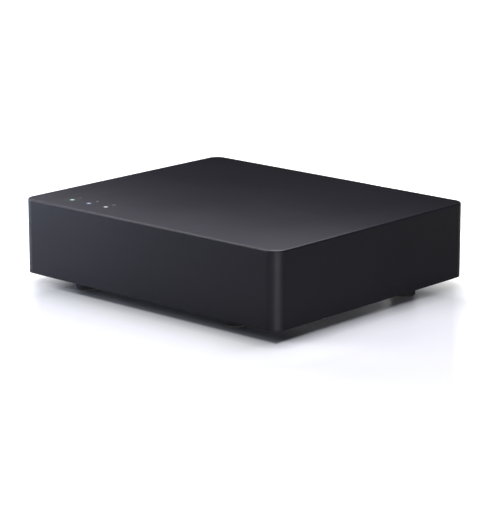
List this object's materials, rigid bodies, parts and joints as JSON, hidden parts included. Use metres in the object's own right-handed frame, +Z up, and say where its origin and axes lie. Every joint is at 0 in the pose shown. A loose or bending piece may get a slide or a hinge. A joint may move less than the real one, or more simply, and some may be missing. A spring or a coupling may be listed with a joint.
{
  "type": "network music streamer",
  "caption": "Compact matt black desktop network audio streamer with rounded corners, top indicator lights and a rear bank of power, network, data, optical and coaxial sockets.",
  "frame": {"origin": "centre of the object's outline, coaxial barrel included, on the surface it stands on", "axes": "+X to the object's right seen from its front, +Y towards its rear connectors, +Z up"},
  "size_m": [0.143, 0.128, 0.036],
  "materials": {
    "cover_plastic": "fine satin texture",
    "base_paint": "matt powder coat",
    "panel_paint": "matt powder coat",
    "foot_rubber": "soft matt rubber",
    "screw_steel": "dark zinc plating",
    "light_green": "clear moulding, lit green",
    "light_blue": "clear moulding, lit blue",
    "light_white": "clear moulding, lit white",
    "board_laminate": "solder mask",
    "module_laminate": "solder mask",
    "chip_resin": "moulded resin",
    "can_aluminium": "drawn can",
    "ferrite": "pressed ferrite",
    "plated_steel": "tin plated sheet",
    "standoff_brass": "turned brass",
    "pad_silicone": "soft silicone",
    "sink_aluminium": "black anodised",
    "antenna_copper": "gilded foil",
    "cable_jacket": "thin jacket",
    "socket_plastic": "moulded resin",
    "contact_gold": "gold plated",
    "button_plastic": "moulded",
    "shutter_plastic": "moulded",
    "spring_steel": "bright wire",
    "window_plastic": "milky lens",
    "tongue_plastic": "white resin",
    "insulator_plastic": "orange resin"
  },
  "bodies": {
    "chassis": {"top_cover": "cover_plastic", "base_plate": "base_paint", "rear_panel": "panel_paint", "rear_panel_jacks": "panel_paint", "foot_front_left": "foot_rubber", "foot_front_right": "foot_rubber", "foot_rear_left": "foot_rubber", "foot_rear_right": "foot_rubber", "case_screws": "screw_steel", "panel_screws": "screw_steel", "light_pipe_power": "light_green", "light_pipe_network": "light_blue", "light_pipe_status": "light_white", "indicator_lights": "tongue_plastic", "main_board": "board_laminate", "board_standoffs": "standoff_brass", "board_screws": "screw_steel", "logic_chips": "chip_resin", "regulator_chips": "chip_resin", "storage_capacitors": "can_aluminium", "power_inductors": "ferrite", "clock_oscillators": "plated_steel", "pulse_transformer": "chip_resin", "module_board": "module_laminate", "module_headers": "socket_plastic", "module_spacers": "standoff_brass", "module_screws": "screw_steel", "processor": "chip_resin", "thermal_pad": "pad_silicone", "heat_sink": "sink_aluminium", "radio_shield": "plated_steel", "antenna_left": "antenna_copper", "antenna_right": "antenna_copper", "antenna_cable_left": "cable_jacket", "antenna_cable_right": "cable_jacket", "antenna_plugs": "contact_gold", "power_jack": "socket_plastic", "power_jack_pin": "plated_steel", "reset_switch": "socket_plastic", "trigger_jack": "socket_plastic", "infrared_jack": "socket_plastic", "serial_jack": "socket_plastic", "ethernet_shield": "plated_steel", "ethernet_insert": "socket_plastic", "ethernet_contacts": "contact_gold", "ethernet_lights": "window_plastic", "usb_shell": "plated_steel", "usb_tongue": "tongue_plastic", "usb_contacts": "contact_gold", "optical_housing": "socket_plastic", "shutter_spring": "spring_steel", "optical_emitter": "chip_resin", "coax_body": "socket_plastic", "coax_barrel": "contact_gold", "coax_insulator": "insulator_plastic", "coax_contact": "contact_gold"},
    "reset_button": {"reset_button": "button_plastic"},
    "optical_shutter": {"optical_shutter": "shutter_plastic"}
  },
  "joints": [
    {"name": "reset_press", "type": "slide", "parent": "chassis", "child": "reset_button", "axis": [0, -1, 0], "range_m": [0, 0.0005], "stiffness_N_per_m": 2000, "springref_m": -0.0003},
    {"name": "shutter_swing", "type": "hinge", "parent": "chassis", "child": "optical_shutter", "pos_m": [-0.03644, 0.05305, 0.0198], "axis": [-1, 0, 0], "range_deg": [0, 85], "stiffness_Nm_per_rad": 0.0001, "springref_deg": -20.05, "deforming": ["shutter_spring"]}
  ]
}
